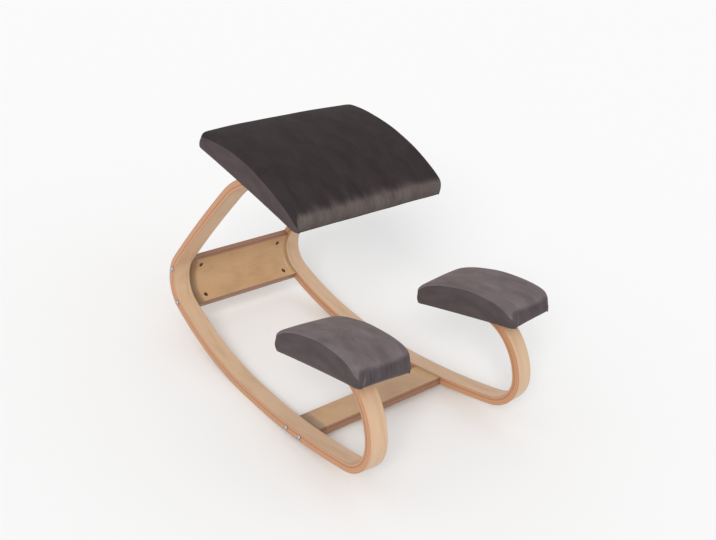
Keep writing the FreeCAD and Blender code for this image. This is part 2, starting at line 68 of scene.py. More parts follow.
# The centre line of a side frame as radii and turns, from the seat to the knee pad
ARC_SIZES = (
    (SEAT_ARCH - HALF, 46.0 / SEAT_ARCH),
    (75.0, math.radians(44.4)),
    (185.0, math.radians(22.7)),
    (3400.0, 281.0 / 3400.0),
    (71.0, math.radians(97.1)),
    (666.0, 266.0 / 666.0),
    (1385.0, 357.0 / 1385.0),
    (69.0, math.radians(89.4)),
    (148.0, math.radians(36.6)),
    (108.0, math.radians(55.7)),
    (KNEE_ARCH - HALF, 85.0 / KNEE_ARCH),
)
SEAT_LAP_AHEAD = 36.5
KNEE_PEAK_AHEAD = 15.0
REAR_RUNNER = 5
FRONT_BEND = 7
KNEE_LAP = 10

STRIP_ROUND = 1.7
BAR_ROUND = 1.5
REAR_BAR_HEIGHT = 121.5
REAR_BAR_BELOW_BEND = 11.7
FRONT_BAR_WIDTH = 66.0
FRONT_BAR_BEHIND_BEND = 166.0

# How finely curved pieces are divided
STEP_SHARE = 0.05
SHORTEST_STEP = 3.5
LONGEST_STEP = 14.0
CORNER_STEPS = 4
BAR_COLUMNS = 13
ROUND_SIDES = 48
DOME_STEPS = 8


def walk():
    """Centre, radius, heading and turn of each arc of the frame line, in millimetres."""
    heading = math.pi - SEAT_LAP_AHEAD / SEAT_ARCH - 46.0 / SEAT_ARCH
    centre = (0.0, -SEAT_ARCH)
    arcs = []
    last = None
    for radius, turn in ARC_SIZES:
        if last is not None:
            step = last - radius
            centre = (centre[0] + step * math.sin(heading), centre[1] - step * math.cos(heading))
        arcs.append((centre, radius, heading, turn))
        heading += turn
        last = radius
    return arcs


ARCS = walk()
STARTS = [sum(radius * turn for _, radius, _, turn in ARCS[:i]) for i in range(len(ARCS) + 1)]


def at(length, side=0.0):
    """(forward, up) of a place along the line, offset to the outside of the bend."""
    index = min(max(bisect.bisect_right(STARTS, length) - 1, 0), len(ARCS) - 1)
    centre, radius, heading, _ = ARCS[index]
    direction = heading + (length - STARTS[index]) / radius
    reach = radius + side
    return centre[0] + reach * math.sin(direction), centre[1] - reach * math.cos(direction)


def stations(first, last):
    """Places along the line, closer together where it bends more."""
    places = []
    for index, (_, radius, _, _) in enumerate(ARCS):
        begin = max(first, STARTS[index])
        end = min(last, STARTS[index + 1])
        if end <= begin:
            continue
        step = min(max(radius * STEP_SHARE, SHORTEST_STEP), LONGEST_STEP)
        count = max(int((end - begin) / step), 2)
        places += [begin + (end - begin) * i / count for i in range(count)]
    return places + [last]


# Mesh helpers


def new_object(name, mesh_data, matrix=None, smooth=True):
    """Object from (vertices in millimetres, faces, corner uvs by layer), placed by a matrix."""
    vertices, faces, uvs = mesh_data
    matrix = matrix or Matrix.Identity(4)
    mesh = bpy.data.meshes.new(name)
    mesh.from_pydata([ROW @ ((matrix @ Vector(v)) * MM) for v in vertices], [], faces)
    for layer, coordinates in uvs.items():
        uv = mesh.uv_layers.new(name=layer)
        for polygon in mesh.polygons:
            for corner, loop in zip(coordinates[polygon.index], polygon.loop_indices):
                uv.data[loop].uv = corner
    if smooth:
        mesh.polygons.foreach_set("use_smooth", [True] * len(mesh.polygons))
    mesh.update()
    obj = bpy.data.objects.new(name, mesh)
    bpy.context.scene.collection.objects.link(obj)
    return obj


def mirror_data(mesh_data):
    """The same mesh on the other side of the chair."""
    vertices, faces, uvs = mesh_data
    flipped = {layer: [list(reversed(face)) for face in corners] for layer, corners in uvs.items()}
    return [(-x, y, z) for x, y, z in vertices], [tuple(reversed(face)) for face in faces], flipped


def placed(mesh_data, matrix):
    """The same mesh moved by a matrix."""
    vertices, faces, uvs = mesh_data
    return [tuple(matrix @ Vector(v)) for v in vertices], faces, uvs


def join(parts):
    """Several meshes as one."""
    vertices, faces, uvs = [], [], {}
    for part_vertices, part_faces, part_uvs in parts:
        base = len(vertices)
        vertices += part_vertices
        faces += [tuple(base + i for i in face) for face in part_faces]
        for layer, corners in part_uvs.items():
            uvs.setdefault(layer, []).extend(corners)
    return vertices, faces, uvs


def even_shading(obj):
    modifier = obj.modifiers.new("even_shading", "WEIGHTED_NORMAL")
    modifier.keep_sharp = True


def finish_piece(obj, material, slot, *nodes):
    """Material, a slot that is not used, and the solids that a piece stands for."""
    obj.data.materials.append(material)
    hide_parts(*nodes)
    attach(obj, "root")


def dress(node, material):
    """New material on a CAD piece that keeps its own shape."""
    materials = frame["nodes"][node].data.materials
    materials.clear()
    materials.append(material)


# Materials


class Nodes:
    """Short way to write node trees."""

    def __init__(self, name):
        self.material = bpy.data.materials.new(name)
        self.material.use_nodes = True
        self.tree = self.material.node_tree
        self.tree.nodes.clear()
        self.out = self.add("ShaderNodeOutputMaterial")
        self.shader = self.add("ShaderNodeBsdfPrincipled")
        self.link(self.shader, "BSDF", self.out, "Surface")

    def add(self, kind, **settings):
        node = self.tree.nodes.new(kind)
        for key, value in settings.items():
            setattr(node, key, value)
        return node

    def link(self, a, output, b, field):
        self.tree.links.new(a.outputs[output], b.inputs[field])

    def math(self, operation, a, b=None, c=None, clamp=False):
        node = self.add("ShaderNodeMath", operation=operation, use_clamp=clamp)
        for index, value in enumerate((a, b, c)):
            if value is None:
                continue
            if isinstance(value, (int, float)):
                node.inputs[index].default_value = value
            else:
                self.tree.links.new(value, node.inputs[index])
        return node.outputs[0]

    def ramp(self, value, stops):
        node = self.add("ShaderNodeValToRGB")
        elements = node.color_ramp.elements
        while len(elements) < len(stops):
            elements.new(0.5)
        for element, (position, colour) in zip(elements, stops):
            element.position = position
            element.color = (*colour, 1.0)
        self.tree.links.new(value, node.inputs[0])
        return node.outputs[0]

    def mix(self, factor, a, b, blend="MIX"):
        node = self.add("ShaderNodeMix", data_type="RGBA", blend_type=blend)
        for socket, value in ((node.inputs[0], factor), (node.inputs[6], a), (node.inputs[7], b)):
            if isinstance(value, (int, float)):
                socket.default_value = value
            elif isinstance(value, tuple):
                socket.default_value = (*value, 1.0)
            else:
                self.tree.links.new(value, socket)
        return node.outputs[2]

    def noise(self, vector, scale, detail=4.0, roughness=0.55, stretch=None, distortion=0.0):
        if stretch is not None:
            mapping = self.add("ShaderNodeMapping")
            mapping.inputs["Scale"].default_value = stretch
            self.tree.links.new(vector, mapping.inputs["Vector"])
            vector = mapping.outputs[0]
        node = self.add("ShaderNodeTexNoise")
        node.inputs["Scale"].default_value = scale
        node.inputs["Detail"].default_value = detail
        node.inputs["Roughness"].default_value = roughness
        node.inputs["Distortion"].default_value = distortion
        self.tree.links.new(vector, node.inputs["Vector"])
        return node.outputs[0]

    def uv(self, layer):
        return self.add("ShaderNodeUVMap", uv_map=layer).outputs[0]

    def split(self, vector):
        node = self.add("ShaderNodeSeparateXYZ")
        self.tree.links.new(vector, node.inputs[0])
        return node.outputs

    def bump(self, height, strength, distance):
        node = self.add("ShaderNodeBump")
        node.inputs["Strength"].default_value = strength
        node.inputs["Distance"].default_value = distance
        self.tree.links.new(height, node.inputs["Height"])
        self.link(node, "Normal", self.shader, "Normal")

    def colour(self, value):
        self.tree.links.new(value, self.shader.inputs["Base Color"])

    def roughness(self, value):
        self.tree.links.new(value, self.shader.inputs["Roughness"])


def srgb(text):
    """Linear colour from six hexadecimal digits."""
    values = [int(text[i : i + 2], 16) / 255 for i in (0, 2, 4)]
    return tuple(v / 12.92 if v <= 0.04045 else ((v + 0.055) / 1.055) ** 2.4 for v in values)


PLY = 2.1
PLY_WANDER = 0.4
MAIN_GLUE_LINE = -3.2
MAIN_GLUE_HALF = 0.6
EDGE_STARTS = 2.0
EDGE_BLEND = 1.4


def laminate(name, pale, deep, edge_pale, edge_deep, glue):
    """Lacquered laminated birch.

    UV "face" runs along and across the strip, and "edge" along and through it.
    """
    n = Nodes(name)
    face = n.uv("face")
    edge = n.uv("edge")
    across = n.split(face)[1]
    through = n.split(edge)[1]
    broad = n.noise(face, 9.0, 3.0, 0.5, (1.0, 5.0, 1.0), 0.6)
    fine = n.noise(face, 60.0, 4.0, 0.6, (0.5, 22.0, 1.0))
    pores = n.noise(face, 300.0, 2.0, 0.7, (0.35, 8.0, 1.0))
    figure = n.math("ADD", n.math("MULTIPLY", broad, 0.6), n.math("MULTIPLY", fine, 0.4))
    wood = n.ramp(figure, [(0.30, deep), (0.52, pale), (0.72, tuple(c * 1.06 for c in pale))])
    wood = n.mix(n.math("MULTIPLY", n.math("GREATER_THAN", pores, 0.66), 0.16), wood, deep)
    ply_noise = n.noise(edge, 14.0, 3.0, 0.6, (1.0, 40.0, 1.0))
    wandering = n.math("ADD", through, n.math("MULTIPLY", ply_noise, PLY_WANDER * MM))
    plies = n.math("MULTIPLY", wandering, 1 / (PLY * MM))
    band = n.math("FRACT", plies)
    parity = n.math("GREATER_THAN", n.math("FRACT", n.math("MULTIPLY", plies, 0.5)), 0.5)
    ply = n.mix(n.math("MULTIPLY", parity, 0.85), edge_pale, edge_deep)
    line = n.math("GREATER_THAN", n.math("ABSOLUTE", n.math("SUBTRACT", band, 0.5)), 0.42)
    ply = n.mix(n.math("MULTIPLY", line, 0.5), ply, glue)
    off_line = n.math("ABSOLUTE", n.math("SUBTRACT", through, MAIN_GLUE_LINE * MM))
    main_line = n.math("LESS_THAN", off_line, MAIN_GLUE_HALF * MM)
    ply = n.mix(n.math("MULTIPLY", main_line, 0.8), ply, glue)
    streaks = n.noise(edge, 45.0, 4.0, 0.65, (0.6, 30.0, 1.0))
    ply = n.mix(n.math("MULTIPLY", streaks, 0.25), ply, edge_deep)
    away = n.math("SUBTRACT", n.math("ABSOLUTE", across), (STRIP_WIDTH / 2 - EDGE_STARTS) * MM)
    on_edge = n.math("MULTIPLY", away, 1 / (EDGE_BLEND * MM), clamp=True)
    n.colour(n.mix(on_edge, wood, ply))
    n.roughness(n.math("ADD", n.math("MULTIPLY", fine, 0.16), 0.34))
    n.shader.inputs["Coat Weight"].default_value = 0.25
    n.shader.inputs["Coat Roughness"].default_value = 0.28
    n.shader.inputs["Specular IOR Level"].default_value = 0.4
    n.bump(n.math("ADD", fine, n.math("MULTIPLY", pores, 0.5)), 0.12, 0.0004)
    return n.material


SIDE_CLOTH_OFFSET = 0.7
# How far forward the normal faces where the rolled front's band of painted light or shade starts and where
# it is full.
PAINTED_LIGHT_BAND_FROM = 0.52
PAINTED_LIGHT_BAND_TO = 0.80


def velvet(name, top, front, side, sheen):
    """Short pile velvet. UV "cloth" runs over the pad in metres, with the side panels moved aside.

    Top, rolled front and side panels have two tones each, brushed into each other. The three tone pairs are
    painted light and shade: the rolled front is chosen where the normal faces forward, and the side panels
    by the cloth UV.
    """
    n = Nodes(name)
    cloth = n.uv("cloth")
    parts = n.split(cloth)
    on_side = n.math("GREATER_THAN", parts[0], SIDE_CLOTH_OFFSET - 0.2)
    facing = n.split(n.add("ShaderNodeNewGeometry").outputs["Normal"])
    strokes = n.noise(cloth, 13.0, 3.0, 0.55, (1.0, 0.45, 1.0), 1.6)
    patches = n.noise(cloth, 34.0, 4.0, 0.6, (1.0, 0.6, 1.0), 0.6)
    streaks = n.noise(cloth, 420.0, 3.0, 0.6, (1.0, 0.03, 1.0))
    pile = n.noise(cloth, 1500.0, 2.0, 0.6)
    brushed = n.math("ADD", n.math("MULTIPLY", strokes, 0.6), n.math("MULTIPLY", patches, 0.4))
    top_tone = n.ramp(brushed, [(0.38, top[0]), (0.62, top[1])])
    streaked = n.math("ADD", n.math("MULTIPLY", streaks, 0.6), n.math("MULTIPLY", patches, 0.4))
    front_tone = n.ramp(streaked, [(0.36, front[0]), (0.64, front[1])])
    side_tone = n.ramp(brushed, [(0.36, side[0]), (0.64, side[1])])
    # Painted light and shade: the more the normal faces forward, the more the rolled front's painted tone
    # replaces the top's; the side panels take their own painted tone.
    ahead = n.math("MULTIPLY", facing[1], -1.0)
    ahead = n.math("ADD", ahead, n.math("MULTIPLY", n.math("SUBTRACT", strokes, 0.5), 0.30))
    band = n.add("ShaderNodeMapRange", interpolation_type="SMOOTHSTEP")
    band.inputs["From Min"].default_value = PAINTED_LIGHT_BAND_FROM
    band.inputs["From Max"].default_value = PAINTED_LIGHT_BAND_TO
    n.tree.links.new(ahead, band.inputs["Value"])
    shade = n.mix(band.outputs[0], top_tone, front_tone)
    shade = n.mix(on_side, shade, side_tone)
    n.colour(n.mix(n.math("MULTIPLY", pile, 0.3), shade, tuple(c * 0.72 for c in top[0])))
    n.shader.inputs["Roughness"].default_value = 0.92
    n.shader.inputs["Specular IOR Level"].default_value = 0.1
    n.shader.inputs["Sheen Weight"].default_value = sheen
    n.shader.inputs["Sheen Roughness"].default_value = 0.4
    n.shader.inputs["Sheen Tint"].default_value = (*srgb("a59890"), 1.0)
    n.bump(n.math("ADD", n.math("MULTIPLY", pile, 0.6), n.math("MULTIPLY", streaks, 0.8)), 0.3, 0.0005)
    return n.material


def metal(name, colour, roughness):
    n = Nodes(name)
    place = n.add("ShaderNodeTexCoord").outputs["Object"]
    scratches = n.noise(place, 900.0, 3.0, 0.6)
    smears = n.noise(place, 120.0, 2.0, 0.5)
    n.colour(n.mix(n.math("MULTIPLY", smears, 0.4), colour, tuple(c * 0.72 for c in colour)))
    n.roughness(n.math("ADD", n.math("MULTIPLY", scratches, 0.2), roughness))
    n.shader.inputs["Metallic"].default_value = 1.0
    n.bump(scratches, 0.1, 0.0001)
    return n.material


def plywood(name):
    """Raw plywood of the boards inside the pads, seen only from below."""
    n = Nodes(name)
    place = n.add("ShaderNodeTexCoord").outputs["Object"]
    figure = n.noise(place, 14.0, 4.0, 0.55, (5.0, 0.6, 1.0), 1.5)
    pores = n.noise(place, 260.0, 2.0, 0.6, (6.0, 0.4, 1.0))
    wood = n.ramp(figure, [(0.32, srgb("a98a63")), (0.55, srgb("c7a97f")), (0.75, srgb("d3b88f"))])
    n.colour(n.mix(n.math("MULTIPLY", n.math("GREATER_THAN", pores, 0.62), 0.35), wood, srgb("8b6b47")))
    n.shader.inputs["Roughness"].default_value = 0.7
    n.bump(pores, 0.2, 0.0003)
    return n.material


WOOD = laminate(
    "birch_strip",
    pale=srgb("cbaa8a"),
    deep=srgb("b99674"),
    edge_pale=srgb("c99a74"),
    edge_deep=srgb("b17a55"),
    glue=srgb("6d3a27"),
)
BAR_WOOD = laminate(
    "birch_bar",
    pale=srgb("bf9a72"),
    deep=srgb("a9825a"),
    edge_pale=srgb("a87c5e"),
    edge_deep=srgb("85573f"),
    glue=srgb("4a2a20"),
)
# Painted light on the seat cloth: a dark top, a painted highlight on the rolled front and lighter side
# panels, as the lit velvet looks.
SEAT_VELVET = velvet(
    "seat_velvet",
    top=(srgb("2f292b"), srgb("3a3334")),
    front=(srgb("524947"), srgb("6f6561")),
    side=(srgb("4b4243"), srgb("5b5051")),
    sheen=0.12,
)
# Painted light on the knee pad cloth, the same velvet as the seat lit differently: a lighter top, with
# painted shade on the front ends and the side panels.
KNEE_VELVET = velvet(
    "knee_velvet",
    top=(srgb("645a5c"), srgb("7b7173")),
    front=(srgb("3d3639"), srgb("5a5154")),
    side=(srgb("463e40"), srgb("5a5152")),
    sheen=0.25,
)
STEEL = metal("zinc_steel", srgb("b9bcc0"), 0.28)
# Painted shade: the barrel nuts sit in recesses, and their steel is painted darker for the shade there.
RECESS_SHADED_STEEL = metal("recess_shaded_steel", srgb("56524f"), 0.42)
PLYWOOD = plywood("raw_plywood")


# Bent strips


def section_ring(width, thickness, radius):
    """Rounded rectangle (across, through), counted round once."""
    points = []
    for cx, cy, start in (
        (width / 2 - radius, thickness / 2 - radius, 0),
        (-width / 2 + radius, thickness / 2 - radius, 1),
        (-width / 2 + radius, -thickness / 2 + radius, 2),
        (width / 2 - radius, -thickness / 2 + radius, 3),
    ):
        for i in range(CORNER_STEPS + 1):
            angle = math.pi / 2 * (start + i / CORNER_STEPS)
            points.append((cx + radius * math.cos(angle), cy + radius * math.sin(angle)))
    return points


def strip_mesh():
    """A whole side frame in its own plane, in millimetres: X across, -Y forward, Z up."""
    ring = section_ring(STRIP_WIDTH, STRIP_THICKNESS, STRIP_ROUND)
    places = stations(0.0, STARTS[-1])
    vertices = []
    for place in places:
        for across, through in ring:
            forward, up = at(place, through)
            vertices.append((across, -forward, up))
    count = len(ring)
    faces, face_uv, edge_uv = [], [], []
    for i in range(len(places) - 1):
        for k in range(count):
            k2 = (k + 1) % count
            faces.append((i * count + k, (i + 1) * count + k, (i + 1) * count + k2, i * count + k2))
            here, ahead = places[i], places[i + 1]
            corners = ((here, ring[k]), (ahead, ring[k]), (ahead, ring[k2]), (here, ring[k2]))
            face_uv.append([(u * MM, point[0] * MM) for u, point in corners])
            edge_uv.append([(u * MM, point[1] * MM) for u, point in corners])
    for i, order in ((0, 1), (len(places) - 1, -1)):
        loop = [i * count + k for k in range(count)][::order]
        faces.append(tuple(loop))
        points = ring[::order]
        face_uv.append([(places[i] * MM + point[1] * MM, STRIP_WIDTH / 2 * MM) for point in points])
        edge_uv.append([(point[0] * MM, point[1] * MM) for point in points])
    return vertices, faces, {"face": face_uv, "edge": edge_uv}


def bar_half_width(y):
    """Distance from the middle to a frame's inner side at a place in the seat-level drawing."""
    return FRAME_SPACING / 2 + (-STRIP_WIDTH / 2 - y * math.sin(TOE_OUT)) / math.cos(TOE_OUT)


def bar_outline(first, last):
    """(along, through) round a crossbar's section, with rounded corners."""
    inner = HALF - BAR_ROUND

    def corner(place, through, start):
        angles = [start - math.pi / 2 * i / CORNER_STEPS for i in range(1, CORNER_STEPS)]
        return [(place + BAR_ROUND * math.cos(a), through + BAR_ROUND * math.sin(a)) for a in angles]

    flat = stations(first + BAR_ROUND, last - BAR_ROUND)
    outline = [(place, HALF) for place in flat]
    outline += corner(last - BAR_ROUND, inner, math.pi / 2)
    outline += [(last, inner), (last, -inner)]
    outline += corner(last - BAR_ROUND, -inner, 0.0)
    outline += [(place, -HALF) for place in reversed(flat)]
    outline += corner(first + BAR_ROUND, -inner, -math.pi / 2)
    outline += [(first, -inner), (first, inner)]
    return outline + corner(first + BAR_ROUND, inner, -math.pi)


EDGE_GRAIN_FROM = 0.4
EDGE_GRAIN_GAIN = 3.0
EDGE_GRAIN_REACH = 2.5
EDGE_GRAIN_START = 2.2
FACE_GRAIN_SHARE = 0.3


def bar_mesh(first, last):
    """A crossbar, in millimetres, in the seat-level drawing. Its long edges are rounded."""
    middle = (first + last) / 2
    ahead = at(middle)[0]
    shift = ahead * (1 - math.cos(TOE_OUT)) - STRIP_WIDTH / 2 * math.sin(TOE_OUT)
    outline = bar_outline(first, last)
    vertices, faces, face_uv, edge_uv = [], [], [], []
    count = len(outline)
    for column in range(BAR_COLUMNS):
        share = column / (BAR_COLUMNS - 1) * 2 - 1
        for place, through in outline:
            forward, up = at(place, through)
            y = -forward + shift
            vertices.append((share * bar_half_width(y), y, up))
    edge_start = (last - first) / 2 - 1.0

    def across_grain(place):
        """Place across the wood's pattern: past the edge's start the end plies show."""
        past = max(abs(place - middle) - edge_start, 0.0)
        if past > EDGE_GRAIN_FROM:
            return (min(past * EDGE_GRAIN_GAIN, EDGE_GRAIN_REACH) + STRIP_WIDTH / 2 - EDGE_GRAIN_START) * MM
        return (place - middle) * MM * FACE_GRAIN_SHARE

    for column in range(BAR_COLUMNS - 1):
        left = column * count
        right = left + count
        for k in range(count):
            k2 = (k + 1) % count
            quad = (left + k, right + k, right + k2, left + k2)
            faces.append(quad)
            along = [vertices[i][0] * MM for i in quad]
            ends = (outline[k], outline[k], outline[k2], outline[k2])
            face_uv.append([(u, across_grain(place)) for u, (place, _) in zip(along, ends)])
            edge_uv.append([(u, through * MM) for u, (_, through) in zip(along, ends)])
    for column, order in ((0, -1), (BAR_COLUMNS - 1, 1)):
        loop = [column * count + k for k in range(count)][::order]
        faces.append(tuple(loop))
        points = outline[::order]
        face_uv.append([(point[0] * MM, STRIP_WIDTH / 2 * MM) for point in points])
        edge_uv.append([(point[0] * MM, point[1] * MM) for point in points])
    return vertices, faces, {"face": face_uv, "edge": edge_uv}


def flip(mesh_data):
    """The same mesh with its faces turned over."""
    vertices, faces, uvs = mesh_data
    turned_uvs = {layer: [list(reversed(face)) for face in corners] for layer, corners in uvs.items()}
    return vertices, [tuple(reversed(face)) for face in faces], turned_uvs


def wooden(name, mesh_data, material, node):
    piece = new_object(name, mesh_data)
    even_shading(piece)
    finish_piece(piece, material, "birch_frame", node)
    return piece


REAR_SPAN_END = STARTS[REAR_RUNNER] + REAR_BAR_BELOW_BEND
FRONT_SPAN_MIDDLE = STARTS[FRONT_BEND] - FRONT_BAR_BEHIND_BEND
frame_strip = placed(strip_mesh(), LEFT_FRAME)
wooden("left_side_frame", frame_strip, WOOD, "side_frame_left")
wooden("right_side_frame", mirror_data(frame_strip), WOOD, "side_frame_right")
rear_bar_mesh = bar_mesh(REAR_SPAN_END - REAR_BAR_HEIGHT, REAR_SPAN_END)
rear_bar = wooden("rear_bent_bar", rear_bar_mesh, BAR_WOOD, "rear_crossbar")
half_bar = FRONT_BAR_WIDTH / 2
front_bar_mesh = bar_mesh(FRONT_SPAN_MIDDLE - half_bar, FRONT_SPAN_MIDDLE + half_bar)
wooden("front_bent_bar", front_bar_mesh, BAR_WOOD, "front_crossbar")

# Fasteners, turned round at the places of the solids


def islands(node):
    """Vertex places in metres of each separate solid of a CAD node."""
    mesh = frame["nodes"][node].data
    matrix = frame["nodes"][node].matrix_world
    parent = list(range(len(mesh.vertices)))

    def root(i):
        while parent[i] != i:
            parent[i] = parent[parent[i]]
            i = parent[i]
        return i

    first_at = {}
    for vertex in mesh.vertices:
        key = tuple(round(c, 6) for c in vertex.co)
        if key in first_at:
            parent[root(vertex.index)] = root(first_at[key])
        else:
            first_at[key] = vertex.index
    for edge in mesh.edges:
        a, b = (root(i) for i in edge.vertices)
        parent[a] = b
    groups = {}
    for vertex in mesh.vertices:
        groups.setdefault(root(vertex.index), []).append(tuple(matrix @ vertex.co))
    return [np.array(groups[key]) for key in sorted(groups)]


def long_axis(points):
    """Middle, direction, places along the direction and distances from the axis."""
    middle = points.mean(axis=0)
    values, vectors = np.linalg.eigh(np.cov((points - middle).T))
    direction = vectors[:, int(np.argmax(values))]
    along = (points - middle) @ direction
    away = np.linalg.norm((points - middle) - np.outer(along, direction), axis=1)
    return middle, direction, along, away


def turned(rings, hexagons=()):
    """Closed turned shape along Z from (radius, height) rings. Some rings are hexagons."""
    vertices, faces = [], []
    for index, (radius, height) in enumerate(rings):
        for k in range(ROUND_SIDES):
            angle = math.tau * k / ROUND_SIDES
            reach = radius
            if index in hexagons:
                reach = radius / math.cos((angle + math.pi / 6) % (math.pi / 3) - math.pi / 6)
            vertices.append((reach * math.cos(angle), reach * math.sin(angle), height))
    for i in range(len(rings) - 1):
        for k in range(ROUND_SIDES):
            k2 = (k + 1) % ROUND_SIDES
            low = i * ROUND_SIDES
            high = low + ROUND_SIDES
            faces.append((low + k, low + k2, high + k2, high + k))
    faces.append(tuple(range(ROUND_SIDES))[::-1])
    last = (len(rings) - 1) * ROUND_SIDES
    faces.append(tuple(last + k for k in range(ROUND_SIDES)))
    return vertices, faces, {}


DOME_TURN = math.radians(60)
DOME_RIM = 0.45
WALL_SHARE = 0.3
SOCKET_SHARE = 0.42
SOCKET_CHAMFER = 0.15
SOCKET_FLOOR = 0.35


def bolt_rings(shaft, length, head, height):
    """Rings of a domed bolt with a six-sided socket, and which of them have six sides."""
    rings = [(shaft * 0.8, -length), (shaft, -length + shaft * 0.3), (shaft, -0.2), (head * 0.97, 0.0)]
    for i in range(DOME_STEPS):
        angle = DOME_TURN * i / (DOME_STEPS - 1)
        radius = head * (DOME_RIM + (1 - DOME_RIM) * math.cos(angle))
        rings.append((radius, height * (WALL_SHARE + (1 - WALL_SHARE) * math.sin(angle) / 0.867)))
    socket = head * SOCKET_SHARE
    first_hexagon = len(rings)
    rings += [(socket + SOCKET_CHAMFER, height), (socket, height - SOCKET_CHAMFER)]
    rings.append((socket, height * SOCKET_FLOOR))
    return rings, range(first_hexagon, len(rings))


SEAT_LEVEL = Matrix.Scale(1 / MM, 4) @ ROW.inverted_safe() @ Matrix.Scale(MM, 4)


def aimed(mesh_data, foot, direction):
    """A turned shape set on a foot and a direction of the row frame, back in the drawing."""
    turn = Vector(direction).to_track_quat("Z", "Y").to_matrix().to_4x4()
    return placed(mesh_data, SEAT_LEVEL @ Matrix.Translation(Vector(foot) / MM) @ turn)


def round_piece(name, parts, material, node):
    piece = new_object(name, join(parts))
    even_shading(piece)
    finish_piece(piece, material, "steel_fastener", node)


def round_bolts(name, node):
    """Domed bolts in the places of a node's bolts."""
    parts = []
    for points in islands(node):
        middle, direction, along, away = long_axis(points)
        if along[np.argmax(away)] < 0:
            direction = -direction
            along = -along
        head = away.max() / MM
        tip = along.max()
        in_head = along[away > away.max() * 0.9]
        seat_at = in_head.min()
        shaft = np.sort(away[away < away.max() * 0.75])[-1] / MM
        rings, hexagons = bolt_rings(shaft, (seat_at - along.min()) / MM, head, (tip - seat_at) / MM)
        parts.append(aimed(turned(rings, hexagons), middle + direction * seat_at, direction))
    round_piece(name, parts, STEEL, node)


NUT_CHAMFER = 0.6
NUT_FIT = 0.98


def round_nuts(name, node):
    """Barrel nuts with a chamfered rim. Gives back the place, direction, radius and length of each."""
    parts, places = [], []
    for points in islands(node):
        middle, direction, along, away = long_axis(points)
        half = (along.max() - along.min()) / 2 / MM
        radius = away.max() / MM * NUT_FIT
        centre = middle + direction * (along.max() + along.min()) / 2
        rim = radius - NUT_CHAMFER
        rings = [(rim, -half), (radius, NUT_CHAMFER - half), (radius, half - NUT_CHAMFER), (rim, half)]
        rings += [(radius * 0.5, half), (radius * 0.42, half - 0.5)]
        parts.append(aimed(turned(rings), centre, direction))
        places.append((centre, direction, radius, half))
    # The nuts take the steel painted darker for the shade of their recesses.
    round_piece(name, parts, RECESS_SHADED_STEEL, node)
    return places


for node in ("rear_crossbar_bolts", "front_crossbar_bolts", "seat_bolts", "knee_bolts"):
    round_bolts(node + "_round", node)
NUT_PLACES = round_nuts("rear_barrel_nuts_round", "rear_crossbar_barrel_nuts")
round_nuts("front_barrel_nuts_round", "front_crossbar_barrel_nuts")


HOLE_CLEARANCE = 0.25
HOLE_RUN_OUT = 8.0


def drill(obj, places, towards):
    """Holes for the barrel nuts, open to one face of the bar."""
    parts = []
    for centre, direction, radius, half in places:
        out = direction if direction @ np.array(towards) > 0 else -direction
        wide = radius + HOLE_CLEARANCE
        parts.append(aimed(turned([(wide, -half), (wide, half + HOLE_RUN_OUT)]), centre, out))
    cutter = new_object("nut_holes", join(parts), smooth=False)
    obj.modifiers.clear()
    cut = obj.modifiers.new("holes", "BOOLEAN")
    cut.operation = "DIFFERENCE"
    cut.solver = "EXACT"
    cut.object = cutter
    graph = bpy.context.evaluated_depsgraph_get()
    mesh = bpy.data.meshes.new_from_object(
        obj.evaluated_get(graph), preserve_all_data_layers=True, depsgraph=graph
    )
    obj.modifiers.clear()
    obj.data = mesh
    even_shading(obj)
    bpy.data.objects.remove(cutter)


drill(rear_bar, NUT_PLACES, (0.0, -1.0, 0.3))
for node in ("seat_tee_nuts", "knee_tee_nuts"):
    dress(node, STEEL)
for node in ("seat_board", "knee_board_left", "knee_board_right"):
    dress(node, PLYWOOD)


# Pads


CURVE_STEPS = 24


def curve_through(points, count):
    """Points evenly spaced along a smooth curve through the given (along, height) points."""
    dense = []
    last = len(points) - 1
    for i in range(last):
        p0 = points[max(i - 1, 0)]
        p1 = points[i]
        p2 = points[i + 1]
        p3 = points[min(i + 2, last)]
        for k in range(CURVE_STEPS):
            t = k / CURVE_STEPS
            dense.append(
                tuple(
                    0.5
                    * (
                        2 * b
                        + (c - a) * t
                        + (2 * a - 5 * b + 4 * c - d) * t * t
                        + (3 * b - a - 3 * c + d) * t * t * t
                    )
                    for a, b, c, d in zip(p0, p1, p2, p3)
                )
            )
    dense.append(tuple(points[-1]))
    lengths = [0.0]
    for a, b in zip(dense, dense[1:]):
        lengths.append(lengths[-1] + math.dist(a, b))
    result = []
    for i in range(count):
        target = lengths[-1] * i / (count - 1)
        k = min(max(bisect.bisect_right(lengths, target) - 1, 0), len(dense) - 2)
        share = (target - lengths[k]) / (lengths[k + 1] - lengths[k])
        result.append(tuple(a + (b - a) * share for a, b in zip(dense[k], dense[k + 1])))
    return result


class Cushion:
    """Sizes of one pad's cloth, in millimetres. Curves run from the rear to the front.

    The middle curve is the top's ridge and the seam curve the line where top and side panels
    meet. The crown says how flat the top is across, and the shoulder how soon it rises.
    """

    def __init__(self, **sizes):
        self.__dict__.update(sizes)


